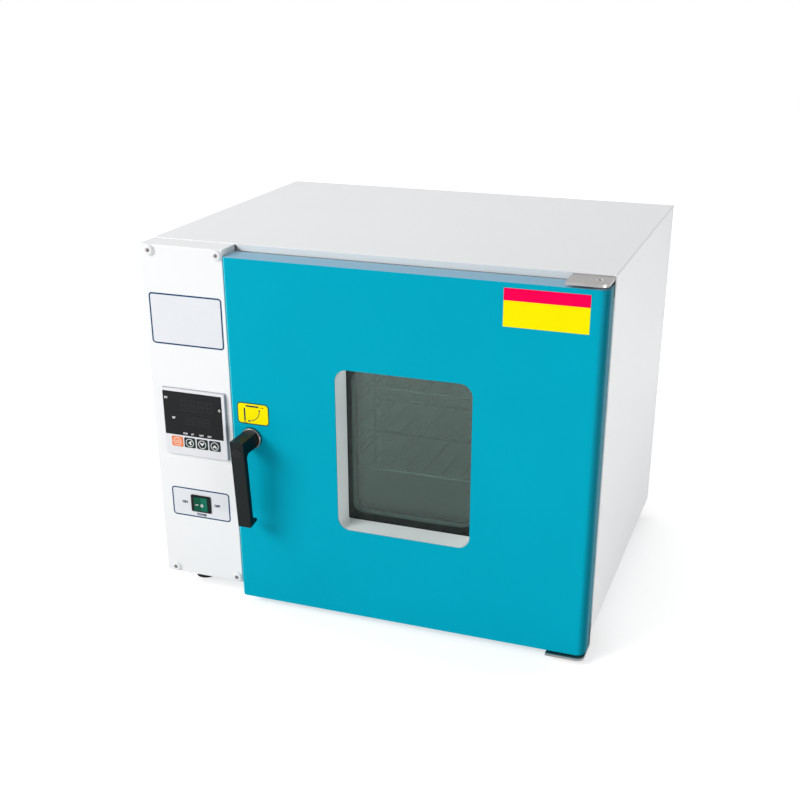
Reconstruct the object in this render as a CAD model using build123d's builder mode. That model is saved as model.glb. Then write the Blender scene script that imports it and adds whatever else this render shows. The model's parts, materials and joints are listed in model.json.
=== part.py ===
"""Bench-top laboratory drying oven with a side-hung door and a control column on its left.

The origin is at the middle of the footprint, on the surface that the feet stand on.
The front faces -Y, +Z is up and +X is to the right of a person at the door.
"""

import os
from math import cos, radians, sin, sqrt

from build123d import *

os.makedirs("parts", exist_ok=True)

# Cabinet
cabinet_width = 622.0
cabinet_depth = 455.0
cabinet_height = 482.0
foot_height = 32.0
sheet = 1.5
bend = 1.4
stile_width = 5.0
lip_height = 9.2
frame_recess = 3.0
pan_flange = 9.0

# Control column
column_width = 121.5
column_depth = 37.0
column_top_gap = 1.0
rail_height = 12.0
rail_thickness = 3.0
panel_screw_left = 15.2
panel_screw_right = 7.1
panel_screw_top = 8.4
panel_screw_bottom = 8.4

# Chamber
chamber_from_left = 197.0
chamber_to_right = 85.0
chamber_floor = 63.0
chamber_ceiling = 94.0
behind_chamber = 125.5
chamber_width = cabinet_width - chamber_from_left - chamber_to_right
chamber_height = cabinet_height - chamber_floor - chamber_ceiling
chamber_depth = cabinet_depth - frame_recess - sheet - behind_chamber
chamber_corner = 12.0
duct_width = 45.0
liner_sheet = 1.0
insulation_behind = 60.0

# Door
door_front = 38.0
door_back_gap = 2.5
door_side_gap = 0.9
door_right_inset = 1.0
door_top_gap = 9.4
door_drop = 19.0
door_sheet = 1.2
door_bend = 13.0
door_edge = 2.5
door_corner = 5.0
door_back_corner = 3.0
door_rim = 1.0
plug_inset = 6.0
plug_depth = 18.0
gasket_width = 8.0
gasket_gap = 6.0
running_gap = 0.3

# Window
window_side = 77.0
window_above = 48.5
window_width = chamber_width - 2 * window_side
window_height = chamber_height - 2 * window_above
window_corner = 17.0
window_taper = 2.9
mitre_corner = 3.0
reveal_wall = 1.5
reveal_depth = 32.5
glass_lap = 5.0
outer_glass_thickness = 5.0
glass_gap = 11.5
inner_glass_thickness = 4.0
inner_window_side = 11.5
inner_window_above = 15.0
inner_window_width = window_width - 2 * inner_window_side
inner_window_height = window_height - 2 * inner_window_above

# Hinges
pin_x_inset = 16.2
pin_front = 21.5
pin_radius = 4.0
pin_clearance = 0.05
pin_bore = 2.5
pin_bore_depth = 9.0
leaf_length = 51.0
leaf_plate = 3.5
top_leaf_front = 43.8
bottom_leaf_front = 43.0
leaf_corner = 10.0
bottom_leaf_gap = 2.0
leg_drop = 21.5
leg_rise = 14.5
leg_clearance = 3.0
bush_height = 14.0
bush_size = 24.0
relief_depth = 6.5

# Handle
handle_inset = 27.9
handle_toe_depth = 19.0
handle_height = 228.0
handle_size = 20.0
handle_reach = 46.0
handle_toe_reach = 36.0
handle_length = 118.0
rose_radius = 15.0
rose_thickness = 5.0
spindle_size = 8.0
spigot_radius = 7.0
cam_thickness = 4.0
cam_height = 10.0
cam_length = 21.0
cam_front = 12.0
latch_pocket_width = 61.0
insulation_narrower = 50.0
latch_pocket_height = 90.0

# Controller and switch
bezel_size = 96.0
bezel_proud = 5.0
bezel_x = 65.8
bezel_z = 237.6
housing_size = 91.0
housing_depth = 70.0
display_width = 90.0
display_height = 63.5
display_lift = 13.1
display_shift = 1.6
button_width = 17.6
button_height = 15.0
button_pitch = 19.3
button_drop = 28.4
button_travel = 0.8
button_proud = 0.6
button_clearance = 0.3
switch_x = 63.7
switch_z = 115.3
switch_width = 31.0
switch_height = 25.5
rocker_width = 19.8
rocker_height = 20.4
rocker_tilt = 8.0

# Fan, heater and probe
fan_radius = 65.0
fan_width = 28.0
fan_blades = 12
shaft_radius = 4.0
motor_radius = 40.0
motor_length = 62.0
heater_gap = 19.0
heater_radius = fan_radius + heater_gap
heater_tube = 4.0
heater_leg = 3.5
probe_radius = 3.0

# Shelves
rung_radius = 2.0
weld_gap = 0.05
rack_post = 2.5
rung_inset = running_gap + 2 * rack_post + weld_gap + rung_radius
rung_count = 6
rung_first = 62.0
rung_last = 63.0
rung_pitch = (chamber_height - rung_first - rung_last) / (rung_count - 1)
rack_front = 40.0
rack_behind = 15.0
rack_above = 12.0
rack_length = chamber_depth - rack_front - rack_behind
shelf_rod = 2.5
shelf_inset = 8.6
shelf_wire = 1.5
shelf_wires = 11
shelf_setback = 45.0
shelf_behind = 5.0
shelf_depth = chamber_depth - shelf_setback - shelf_behind

# Feet and rear
foot_radius = 17.0
foot_taper = 2.0
foot_screw_above = 5.0
foot_inset = 29.0
foot_front_inset = 23.0
rear_reach = 12.0

# Places worked out from the sizes above
left = -cabinet_width / 2
right = cabinet_width / 2
base = foot_height
top = base + cabinet_height
mid_height = (base + top) / 2
front = (door_front + handle_reach - cabinet_depth - rear_reach) / 2
rear = front + cabinet_depth
frame_y = front + frame_recess
column_right = left + column_width
column_front = front - column_depth
column_middle = left + column_width / 2
door_x0 = column_right + door_side_gap
door_x1 = right - door_right_inset
door_y0 = front - door_front
door_y1 = front - door_back_gap
door_z0 = base - door_drop
door_z1 = top - door_top_gap
door_width = door_x1 - door_x0
door_height = door_z1 - door_z0
door_depth = door_y1 - door_y0
door_cx = (door_x0 + door_x1) / 2
door_cz = (door_z0 + door_z1) / 2
chamber_x1 = right - chamber_to_right
chamber_x0 = chamber_x1 - chamber_width
chamber_cx = (chamber_x0 + chamber_x1) / 2
chamber_z0 = base + chamber_floor
chamber_z1 = chamber_z0 + chamber_height
chamber_cz = (chamber_z0 + chamber_z1) / 2
liner_y0 = frame_y + sheet
liner_y1 = liner_y0 + chamber_depth
liner_x0 = chamber_x0 - duct_width
pin_x = right - pin_x_inset
pin_y = front - pin_front
leaf_x1 = right - sheet
leaf_x0 = leaf_x1 - leaf_length
top_leaf_z1 = top - sheet - 0.1
top_leaf_z0 = top_leaf_z1 - leaf_plate
bottom_leaf_z1 = door_z0 - bottom_leaf_gap
bottom_leaf_z0 = bottom_leaf_z1 - leaf_plate
handle_x = door_x0 + handle_inset
handle_z = base + handle_height
reveal_y1 = door_y0 + reveal_depth
inner_glass_y0 = reveal_y1 + outer_glass_thickness + glass_gap
inner_glass_y1 = inner_glass_y0 + inner_glass_thickness
plug_y1 = front + plug_depth
glass_width = window_width + 2 * glass_lap
glass_height = window_height + 2 * glass_lap
plug_width = chamber_width - 2 * plug_inset
plug_height = chamber_height - 2 * plug_inset
bezel_cx = left + bezel_x
bezel_cz = base + bezel_z
bezel_y0 = column_front - bezel_proud
switch_cx = left + switch_x
switch_cz = base + switch_z
probe_inset = 50.0
probe_below = 40.0
probe_x = chamber_x1 - probe_inset
probe_z = chamber_z1 - probe_below
fan_y = (liner_y0 + liner_y1) / 2
fan_z = chamber_cz
partition_x = column_right - sheet
panel_screw_points = [
    (x, z)
    for x in (left + panel_screw_left, column_right - panel_screw_right)
    for z in (base + panel_screw_bottom, top - panel_screw_top)
]
foot_points = [
    (x, y)
    for x in (left + foot_inset, right - foot_inset)
    for y in (front + foot_front_inset, rear - foot_front_inset)
]


def facing(y):
    """Upright plane at depth y: its x is +X, its y is +Z, and it looks at -Y."""
    return Plane.XZ.offset(-y)


def level(z):
    """Level plane at height z."""
    return Plane.XY.offset(z)


def across(x):
    """Upright plane at x: its x is +Y, its y is +Z, and it looks at +X."""
    return Plane.YZ.offset(x)


def along_y(x, z):
    """Axis through (x, z) that runs front to back."""
    return Axis((x, 0, z), (0, 1, 0))


# Cabinet shell: top and both sides in one folded sheet, with a drip lip over the door
stile_notch = leg_drop + 6.0
with BuildPart() as outer_shell:
    with BuildSketch(facing(rear)):
        with Locations((0, mid_height)):
            Rectangle(cabinet_width, cabinet_height)
    extrude(amount=cabinet_depth)
    fillet(outer_shell.edges().filter_by(Axis.Y).group_by(Axis.Z)[-1], bend)
    front_edges = outer_shell.edges().filter_by_position(Axis.Y, front - 0.01, front + 0.01)
    fillet(front_edges.sort_by(Axis.Z)[1:], 1.0)
    with BuildSketch(facing(rear)):
        with Locations((0, mid_height - sheet)):
            Rectangle(cabinet_width - 2 * sheet, cabinet_height)
    extrude(amount=cabinet_depth, mode=Mode.SUBTRACT)
    with BuildSketch(facing(front + sheet)):
        Polygon(
            (column_right + 0.5, top - sheet),
            (leaf_x0 - 0.6, top - sheet),
            (leaf_x0 - 0.6, top - lip_height),
            (column_right + lip_height, top - lip_height),
            align=None,
        )
        with Locations((right - (stile_width + sheet) / 2, mid_height)):
            Rectangle(stile_width - sheet, cabinet_height - 2 * stile_notch)
    extrude(amount=sheet)
outer_shell.part.label = "outer_shell"
export_step(outer_shell.part, "parts/outer_shell.step")

# Front frame behind the door, with the mouth of the chamber
with BuildPart() as front_frame:
    with BuildSketch(facing(frame_y + sheet)):
        with Locations(((column_right + right - sheet) / 2, mid_height - sheet / 2)):
            Rectangle(right - sheet - column_right, cabinet_height - sheet)
        with Locations((chamber_cx, chamber_cz)):
            RectangleRounded(chamber_width, chamber_height, chamber_corner, mode=Mode.SUBTRACT)
    extrude(amount=sheet)
front_frame.part.label = "front_frame"
export_step(front_frame.part, "parts/front_frame.step")

# Base pan with upturned flanges, drilled for the feet
pan_y0 = frame_y + sheet
pan_y1 = rear - sheet
pan_x0 = left + sheet
pan_x1 = right - sheet
with BuildPart() as base_pan:
    with BuildSketch(level(base)):
        with Locations(((pan_x0 + pan_x1) / 2, (pan_y0 + pan_y1) / 2)):
            Rectangle(pan_x1 - pan_x0, pan_y1 - pan_y0)
    extrude(amount=sheet)
    for flange_y in (pan_y0, pan_y1 - sheet):
        with BuildSketch(level(base)):
            with Locations(((pan_x0 + column_right - sheet) / 2, flange_y + sheet / 2)):
                Rectangle(column_right - sheet - pan_x0, sheet)
        extrude(amount=pan_flange)
    with BuildSketch(level(base)):
        with Locations(foot_points):
            Circle(2.6)
    extrude(amount=sheet, mode=Mode.SUBTRACT)
base_pan.part.label = "base_pan"
export_step(base_pan.part, "parts/base_pan.step")

# Rear cover with two banks of louvres, a cut-out for the inlet and one for the vent
inlet_inset = 60.0
inlet_x = left + inlet_inset
inlet_z = base + inlet_inset
vent_x = chamber_cx
vent_z = chamber_z1 - 40.0
vent_neck_radius = 17.0
vent_bore = 14.0
louvre_width = 70.0
louvre_slot = 4.0
louvre_pitch = 12.0
louvre_count = 6
louvre_inset = 62.0
louvre_above_base = 150.0
louvre_below_top = 90.0
cover_screw_inset = 12.0
cover_screw_points = [
    (x, z)
    for x in (left + cover_screw_inset, 0, right - cover_screw_inset)
    for z in (base + cover_screw_inset, top - cover_screw_inset)
]
with BuildPart() as rear_cover:
    with BuildSketch(facing(rear)) as cover_face:
        with Locations((0, mid_height - sheet / 2)):
            Rectangle(cabinet_width - 2 * sheet, cabinet_height - sheet)
        with Locations((inlet_x, inlet_z)):
            Rectangle(28.5, 20.5, mode=Mode.SUBTRACT)
        with Locations((vent_x, vent_z)):
            Circle(vent_neck_radius + running_gap, mode=Mode.SUBTRACT)
        for bank_z in (base + louvre_above_base, top - louvre_below_top):
            with Locations((left + louvre_inset, bank_z)):
                with GridLocations(1, louvre_pitch, 1, louvre_count):
                    SlotOverall(louvre_width, louvre_slot, mode=Mode.SUBTRACT)
        with Locations(cover_screw_points):
            Circle(2.1, mode=Mode.SUBTRACT)
    extrude(amount=sheet)
rear_cover.part.label = "rear_cover"
export_step(rear_cover.part, "parts/rear_cover.step")

with BuildPart() as rear_cover_screws:
    with BuildSketch(facing(rear)):
        with Locations(cover_screw_points):
            Circle(3.8)
    extrude(amount=-2.2)
    with BuildSketch(facing(rear)):
        with Locations(cover_screw_points):
            Circle(2.0)
    extrude(amount=8.0)
    with BuildSketch(facing(rear + 2.2)):
        with Locations(cover_screw_points):
            Rectangle(4.4, 1.0)
            Rectangle(1.0, 4.4)
    extrude(amount=1.1, mode=Mode.SUBTRACT)
rear_cover_screws.part.label = "rear_cover_screws"
export_step(rear_cover_screws.part, "parts/rear_cover_screws.step")

# Vent neck from the chamber through the back, under a round cap
vent_neck_y0 = liner_y1 + liner_sheet
with BuildPart() as vent_cap:
    with BuildSketch(facing(rear + rear_reach - 5.0)):
        with Locations((vent_x, vent_z)):
            Circle(vent_neck_radius)
    extrude(amount=rear + rear_reach - 5.0 - vent_neck_y0)
    with BuildSketch(facing(rear + rear_reach)):
        with Locations((vent_x, vent_z)):
            Circle(30.0)
    extrude(amount=5.0)
    fillet(vent_cap.edges().sort_by(Axis.Y)[-1], 2.5)
    with BuildSketch(facing(rear + rear_reach - 5.0)):
        with Locations((vent_x, vent_z)):
            Circle(vent_bore)
    extrude(amount=rear + rear_reach - 5.0 - vent_neck_y0, mode=Mode.SUBTRACT)
vent_cap.part.label = "vent_cap"
export_step(vent_cap.part, "parts/vent_cap.step")

# Mains inlet with three blades in its recess
inlet_depth = 22.0
inlet_width = 50.0
inlet_height = 24.0
with BuildPart() as power_inlet:
    with BuildSketch(facing(rear + 3.0)):
        with Locations((inlet_x, inlet_z)):
            RectangleRounded(inlet_width, inlet_height, 4.0)
    extrude(amount=3.0)
    with BuildSketch(facing(rear)):
        with Locations((inlet_x, inlet_z)):
            Rectangle(28.0, 20.0)
    extrude(amount=inlet_depth)
    with BuildSketch(facing(rear + 3.0)):
        with Locations((inlet_x, inlet_z)):
            RectangleRounded(24.4, 16.4, 2.0)
    extrude(amount=16.0, mode=Mode.SUBTRACT)
    with BuildSketch(facing(rear + 1.0)):
        with Locations((inlet_x - 7.0, inlet_z - 2.5), (inlet_x, inlet_z + 1.5), (inlet_x + 7.0, inlet_z - 2.5)):
            Rectangle(2.0, 4.0)
    extrude(amount=15.0)
power_inlet.part.label = "power_inlet"
export_step(power_inlet.part, "parts/power_inlet.step")

# Rubber feet, each held by a screw from below
with BuildPart() as rubber_feet:
    for foot_x, foot_y in foot_points:
        with BuildSketch(Plane.XZ.offset(-foot_y)):
            with BuildLine():
                Polyline(
                    (foot_x + 2.6, base),
                    (foot_x + foot_radius, base),
                    (foot_x + foot_radius - foot_taper, 0),
                    (foot_x + 7.0, 0),
                    (foot_x + 7.0, 14.0),
                    (foot_x + 2.6, 14.0),
                    close=True,
                )
            make_face()
        revolve(axis=Axis((foot_x, foot_y, 0), (0, 0, 1)))
rubber_feet.part.label = "rubber_feet"
export_step(rubber_feet.part, "parts/rubber_feet.step")

with BuildPart() as foot_screws:
    with BuildSketch(level(10.8)):
        with Locations(foot_points):
            Circle(5.0)
    extrude(amount=3.2)
    with BuildSketch(level(14.0)):
        with Locations(foot_points):
            Circle(2.4)
    extrude(amount=base + foot_screw_above - 14.0)
foot_screws.part.label = "foot_screws"
export_step(foot_screws.part, "parts/foot_screws.step")

# Control column: folded cover with cut-outs for the controller and the switch
with BuildPart() as control_panel:
    with BuildSketch(facing(front)) as column_profile:
        with Locations((column_middle, mid_height - column_top_gap / 2)):
            Rectangle(column_width, cabinet_height - column_top_gap)
    extrude(amount=column_depth)
    column_edges = control_panel.edges().filter_by_position(
        Axis.Y, column_front - 0.01, column_front + 0.01
    )
    fillet(column_edges, bend)
    with BuildSketch(facing(front)):
        with Locations((column_middle, mid_height - column_top_gap / 2)):
            Rectangle(column_width - 2 * sheet, cabinet_height - column_top_gap - 2 * sheet)
    extrude(amount=column_depth - sheet, mode=Mode.SUBTRACT)
    with BuildSketch(facing(front)):
        with Locations((bezel_cx, bezel_cz)):
            Rectangle(housing_size + 1.0, housing_size + 1.0)
        with Locations((switch_cx, switch_cz)):
            Rectangle(switch_width - 3.0, switch_height - 3.0)
        with Locations(panel_screw_points):
            Circle(2.3)
    extrude(amount=column_depth + sheet, mode=Mode.SUBTRACT)
control_panel.part.label = "control_panel"
export_step(control_panel.part, "parts/control_panel.step")

with BuildPart() as panel_rails:
    rail_ys = column_front + sheet + rail_thickness
    for rail_z in (base + panel_screw_bottom, top - panel_screw_top):
        with BuildSketch(facing(rail_ys)):
            with Locations((column_middle, rail_z)):
                Rectangle(column_width - 2 * sheet - 1.0, rail_height - 1.0)
            with Locations([point for point in panel_screw_points if point[1] == rail_z]):
                Circle(2.05, mode=Mode.SUBTRACT)
        extrude(amount=rail_thickness)
panel_rails.part.label = "panel_rails"
export_step(panel_rails.part, "parts/panel_rails.step")

cup_radius = 7.0
cup_height = 4.2
cup_floor = 1.2
screw_head_radius = 2.8
with BuildPart() as cup_washers:
    for screw_x, screw_z in panel_screw_points:
        with BuildSketch(level(screw_z)):
            with BuildLine():
                wall = Line((screw_x + cup_radius, column_front), (screw_x + cup_radius, column_front - cup_floor))
                dome = ThreePointArc(
                    wall @ 1,
                    (screw_x + 6.2, column_front - 3.1),
                    (screw_x + 4.0, column_front - cup_height),
                )
                Polyline(
                    dome @ 1,
                    (screw_x + screw_head_radius + 0.2, column_front - cup_height + 0.5),
                    (screw_x + screw_head_radius + 0.2, column_front - cup_floor),
                    (screw_x + 2.3, column_front - cup_floor),
                    (screw_x + 2.3, column_front),
                    wall @ 0,
                )
            make_face()
        revolve(axis=along_y(screw_x, screw_z))
cup_washers.part.label = "cup_washers"
export_step(cup_washers.part, "parts/cup_washers.step")

with BuildPart() as panel_screws:
    with BuildSketch(facing(column_front - cup_floor)):
        with Locations(panel_screw_points):
            Circle(screw_head_radius)
    extrude(amount=2.0)
    with BuildSketch(facing(column_front - cup_floor)):
        with Locations(panel_screw_points):
            Circle(2.0)
    extrude(amount=-10.0)
    with BuildSketch(facing(column_front - cup_floor - 2.0)):
        with Locations(panel_screw_points):
            Rectangle(3.6, 0.9)
            Rectangle(0.9, 3.6)
    extrude(amount=-1.2, mode=Mode.SUBTRACT)
panel_screws.part.label = "panel_screws"
export_step(panel_screws.part, "parts/panel_screws.step")

# Controller: white bezel, dark display window, housing behind the panel and four keys
button_cz = bezel_cz - button_drop
button_xs = [bezel_cx + (i - 1.5) * button_pitch for i in range(4)]
display_cx = bezel_cx - display_shift
display_cz = bezel_cz + display_lift
display_thickness = 1.5
with BuildPart() as controller_bezel:
    with BuildSketch(facing(column_front)):
        with Locations((bezel_cx, bezel_cz)):
            RectangleRounded(bezel_size, bezel_size, 3.0)
    extrude(amount=bezel_proud)
    fillet(controller_bezel.edges().group_by(Axis.Y)[0], 1.2)
    with BuildSketch(facing(bezel_y0)):
        with Locations((display_cx, display_cz)):
            RectangleRounded(display_width, display_height, 1.5)
    extrude(amount=-display_thickness, mode=Mode.SUBTRACT)
    with BuildSketch(facing(bezel_y0)):
        with Locations([(x, button_cz) for x in button_xs]):
            RectangleRounded(button_width, button_height, 2.0)
    extrude(amount=-bezel_proud, mode=Mode.SUBTRACT)
controller_bezel.part.label = "controller_bezel"
export_step(controller_bezel.part, "parts/controller_bezel.step")

with BuildPart() as display_window:
    with BuildSketch(facing(bezel_y0 + display_thickness)):
        with Locations((display_cx, display_cz)):
            RectangleRounded(display_width - 0.3, display_height - 0.3, 1.35)
    extrude(amount=display_thickness)
display_window.part.label = "display_window"
export_step(display_window.part, "parts/display_window.step")

with BuildPart() as controller_housing:
    with BuildSketch(facing(column_front + housing_depth)):
        with Locations((bezel_cx, bezel_cz)):
            RectangleRounded(housing_size, housing_size, 3.0)
    extrude(amount=housing_depth)
    with BuildSketch(facing(column_front)):
        with Locations((bezel_cx, button_cz)):
            Rectangle(4 * button_pitch, button_height)
    extrude(amount=-2.0, mode=Mode.SUBTRACT)
controller_housing.part.label = "controller_housing"
export_step(controller_housing.part, "parts/controller_housing.step")

for name, key_x in zip(("key_set", "key_shift", "key_down", "key_up"), button_xs):
    with BuildPart() as key:
        with BuildSketch(facing(column_front - 0.2)):
            with Locations((key_x, button_cz)):
                RectangleRounded(
                    button_width - 2 * button_clearance, button_height - 2 * button_clearance, 1.8
                )
        extrude(amount=bezel_proud - 0.2 + button_proud)
        fillet(key.edges().group_by(Axis.Y)[0], 0.5)
    key.part.label = name
    export_step(key.part, "parts/" + name + ".step")

# Mains switch: frame clipped into the panel, with a rocker that tilts side to side
rocker_pivot_y = column_front + 1.5
switch_frame_proud = 2.0
with BuildPart() as switch_frame:
    with BuildSketch(facing(column_front)):
        with Locations((switch_cx, switch_cz)):
            RectangleRounded(switch_width, switch_height, 1.5)
    extrude(amount=switch_frame_proud)
    fillet(switch_frame.edges().group_by(Axis.Y)[0], 0.6)
    with BuildSketch(facing(column_front + 22.0)):
        with Locations((switch_cx, switch_cz)):
            Rectangle(switch_width - 3.6, switch_height - 3.6)
    extrude(amount=22.0)
    with BuildSketch(facing(column_front - switch_frame_proud)):
        with Locations((switch_cx, switch_cz)):
            Rectangle(rocker_width + 2.0, rocker_height + 2 * running_gap)
    extrude(amount=-(switch_frame_proud + 12.0), mode=Mode.SUBTRACT)
switch_frame.part.label = "switch_frame"
export_step(switch_frame.part, "parts/switch_frame.step")

rocker_place = Plane(
    origin=(switch_cx, rocker_pivot_y, switch_cz - rocker_height / 2),
    x_dir=(cos(radians(rocker_tilt)), sin(radians(rocker_tilt)), 0),
    z_dir=(0, 0, 1),
)
with BuildPart() as rocker:
    with BuildSketch(rocker_place):
        Polygon(
            (-rocker_width / 2, -5.6),
            (0, -4.3),
            (rocker_width / 2, -5.6),
            (rocker_width / 2 - 1.0, 0.5),
            (5.0, 7.0),
            (-5.0, 7.0),
            (-rocker_width / 2 + 1.0, 0.5),
            align=None,
        )
    extrude(amount=rocker_height)
rocker.part.label = "rocker"
export_step(rocker.part, "parts/rocker.step")

# Chamber liner: five-sided stainless box, with a hole for the fan shaft and one for the vent
liner_width = chamber_x1 - liner_x0
liner_cx = (chamber_x1 + liner_x0) / 2
with BuildPart() as chamber_liner:
    with BuildSketch(facing(liner_y1 + liner_sheet)):
        with Locations((liner_cx, chamber_cz)):
            Rectangle(liner_width + 2 * liner_sheet, chamber_height + 2 * liner_sheet)
    extrude(amount=chamber_depth + liner_sheet)
    with BuildSketch(facing(liner_y1)):
        with Locations((liner_cx, chamber_cz)):
            Rectangle(liner_width, chamber_height)
    extrude(amount=chamber_depth, mode=Mode.SUBTRACT)
    with BuildSketch(across(liner_x0 - liner_sheet)):
        with Locations((fan_y, fan_z)):
            Circle(shaft_radius + 2.0)
    extrude(amount=liner_sheet, mode=Mode.SUBTRACT)
    with BuildSketch(across(liner_x0 - liner_sheet)):
        with Locations((fan_y, fan_z + heater_radius), (fan_y, fan_z - heater_radius)):
            Circle(heater_leg + 0.8)
    extrude(amount=liner_sheet, mode=Mode.SUBTRACT)
    with BuildSketch(facing(liner_y1 + liner_sheet)):
        with Locations((vent_x, vent_z)):
            Circle(vent_bore)
        with Locations((probe_x, probe_z)):
            Circle(probe_radius + 0.2)
    extrude(amount=liner_sheet, mode=Mode.SUBTRACT)
chamber_liner.part.label = "chamber_liner"
export_step(chamber_liner.part, "parts/chamber_liner.step")

# Mineral wool around the liner
wool_x0 = column_right
wool_y1 = liner_y1 + insulation_behind
wool_z0 = base + foot_screw_above + 1.0
wool_z1 = top - sheet - 0.2
with BuildPart() as chamber_insulation:
    with BuildSketch(facing(wool_y1)):
        with Locations(((wool_x0 + right - sheet) / 2, (wool_z0 + wool_z1) / 2)):
            Rectangle(right - sheet - wool_x0 - 0.4, wool_z1 - wool_z0)
    extrude(amount=wool_y1 - liner_y0)
    with BuildSketch(facing(liner_y1 + liner_sheet)):
        with Locations((liner_cx, chamber_cz)):
            Rectangle(liner_width + 2 * liner_sheet, chamber_height + 2 * liner_sheet)
    extrude(amount=chamber_depth + liner_sheet, mode=Mode.SUBTRACT)
    with BuildSketch(across(wool_x0)):
        with Locations((fan_y, fan_z)):
            Circle(shaft_radius + 3.0)
        with Locations((fan_y, fan_z + heater_radius), (fan_y, fan_z - heater_radius)):
            Circle(heater_leg + 0.8)
    extrude(amount=liner_x0 - wool_x0, mode=Mode.SUBTRACT)
    with BuildSketch(facing(wool_y1)):
        with Locations((vent_x, vent_z)):
            Circle(vent_neck_radius + running_gap)
        with Locations((probe_x, probe_z)):
            Circle(probe_radius + 0.2)
    extrude(amount=insulation_behind, mode=Mode.SUBTRACT)
chamber_insulation.part.label = "chamber_insulation"
export_step(chamber_insulation.part, "parts/chamber_insulation.step")

# Partition between the hot side and the electrics, which carries the fan motor
with BuildPart() as motor_partition:
    with BuildSketch(across(partition_x)):
        with Locations(((pan_y0 + sheet + pan_y1 - sheet) / 2, mid_height)):
            Rectangle(pan_y1 - pan_y0 - 2 * sheet - 0.4, cabinet_height - 2 * sheet - 0.4)
        with Locations((fan_y, fan_z)):
            Circle(shaft_radius + 3.0, mode=Mode.SUBTRACT)
        with Locations((fan_y, fan_z + heater_radius), (fan_y, fan_z - heater_radius)):
            Circle(heater_leg + 0.8, mode=Mode.SUBTRACT)
    extrude(amount=sheet)
motor_partition.part.label = "motor_partition"
export_step(motor_partition.part, "parts/motor_partition.step")

# Fan motor on its plate
motor_plate = 3.0
motor_x1 = partition_x - motor_plate
with BuildPart() as fan_motor:
    with BuildSketch(across(motor_x1)):
        with Locations((fan_y, fan_z)):
            RectangleRounded(2 * motor_radius + 16.0, 2 * motor_radius + 16.0, 6.0)
    extrude(amount=motor_plate)
    with BuildSketch(across(motor_x1 - motor_length)):
        with Locations((fan_y, fan_z)):
            Circle(motor_radius)
    extrude(amount=motor_length)
    fillet(fan_motor.edges().sort_by(Axis.X)[0], 6.0)
    with BuildSketch(across(motor_x1 + motor_plate)):
        with Locations((fan_y, fan_z)):
            Circle(shaft_radius + pin_clearance)
    extrude(amount=-30.0, mode=Mode.SUBTRACT)
fan_motor.part.label = "fan_motor"
export_step(fan_motor.part, "parts/fan_motor.step")

# Centrifugal fan on its shaft, in the duct beside the chamber
fan_x0 = liner_x0 + 8.0
with BuildPart() as fan_impeller:
    with BuildSketch(across(motor_x1 + motor_plate - 28.0)):
        with Locations((fan_y, fan_z)):
            Circle(shaft_radius)
    extrude(amount=fan_x0 + 14.0 - (motor_x1 + motor_plate - 28.0))
    with BuildSketch(across(fan_x0)):
        with Locations((fan_y, fan_z)):
            Circle(fan_radius)
    extrude(amount=1.5)
    with BuildSketch(across(fan_x0)):
        with Locations((fan_y, fan_z)):
            Circle(12.0)
    extrude(amount=12.0)
    with BuildSketch(across(fan_x0)):
        with Locations((fan_y, fan_z)):
            with PolarLocations(fan_radius - 11.0, fan_blades):
                Rectangle(22.0, 1.5, rotation=35)
    extrude(amount=fan_width)
fan_impeller.part.label = "fan_impeller"
export_step(fan_impeller.part, "parts/fan_impeller.step")

# Ring heater around the fan, with its two cold ends out through the partition
heater_x = fan_x0 + fan_width / 2
with BuildPart() as heater_element:
    with BuildSketch(Plane.XZ.offset(-fan_y)):
        with Locations((heater_x, fan_z + heater_radius)):
            Circle(heater_tube)
    revolve(axis=Axis((0, fan_y, fan_z), (1, 0, 0)))
    with BuildSketch(across(partition_x - 12.0)):
        with Locations((fan_y, fan_z + heater_radius), (fan_y, fan_z - heater_radius)):
            Circle(heater_leg)
    extrude(amount=heater_x + 1.0 - (partition_x - 12.0))
heater_element.part.label = "heater_element"
export_step(heater_element.part, "parts/heater_element.step")

# Air baffle between duct and chamber, with an intake ring and outlet slots
baffle_x = chamber_x0 - liner_sheet
with BuildPart() as air_baffle:
    with BuildSketch(across(baffle_x)):
        with Locations(((liner_y0 + liner_y1) / 2, chamber_cz)):
            Rectangle(chamber_depth - 0.4, chamber_height - 0.4)
        with Locations((fan_y, fan_z)):
            with PolarLocations(24.0, 8):
                SlotOverall(26.0, 9.0, mode=Mode.SUBTRACT)
        for slot_y in (liner_y0 + 30.0, liner_y1 - 30.0):
            with Locations((slot_y, chamber_cz)):
                with GridLocations(1, 28.0, 1, 9):
                    SlotOverall(30.0, 8.0, mode=Mode.SUBTRACT)
    extrude(amount=liner_sheet)
air_baffle.part.label = "air_baffle"
export_step(air_baffle.part, "parts/air_baffle.step")

# Temperature probe through the back of the chamber
with BuildPart() as temperature_probe:
    with BuildSketch(facing(wool_y1 + 10.0)):
        with Locations((probe_x, probe_z)):
            Circle(probe_radius)
    extrude(amount=wool_y1 + 10.0 - (liner_y1 - 14.0))
    with BuildSketch(facing(liner_y1)):
        with Locations((probe_x, probe_z)):
            RegularPolygon(7.0, 6)
    extrude(amount=4.0)
temperature_probe.part.label = "temperature_probe"
export_step(temperature_probe.part, "parts/temperature_probe.step")

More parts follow.
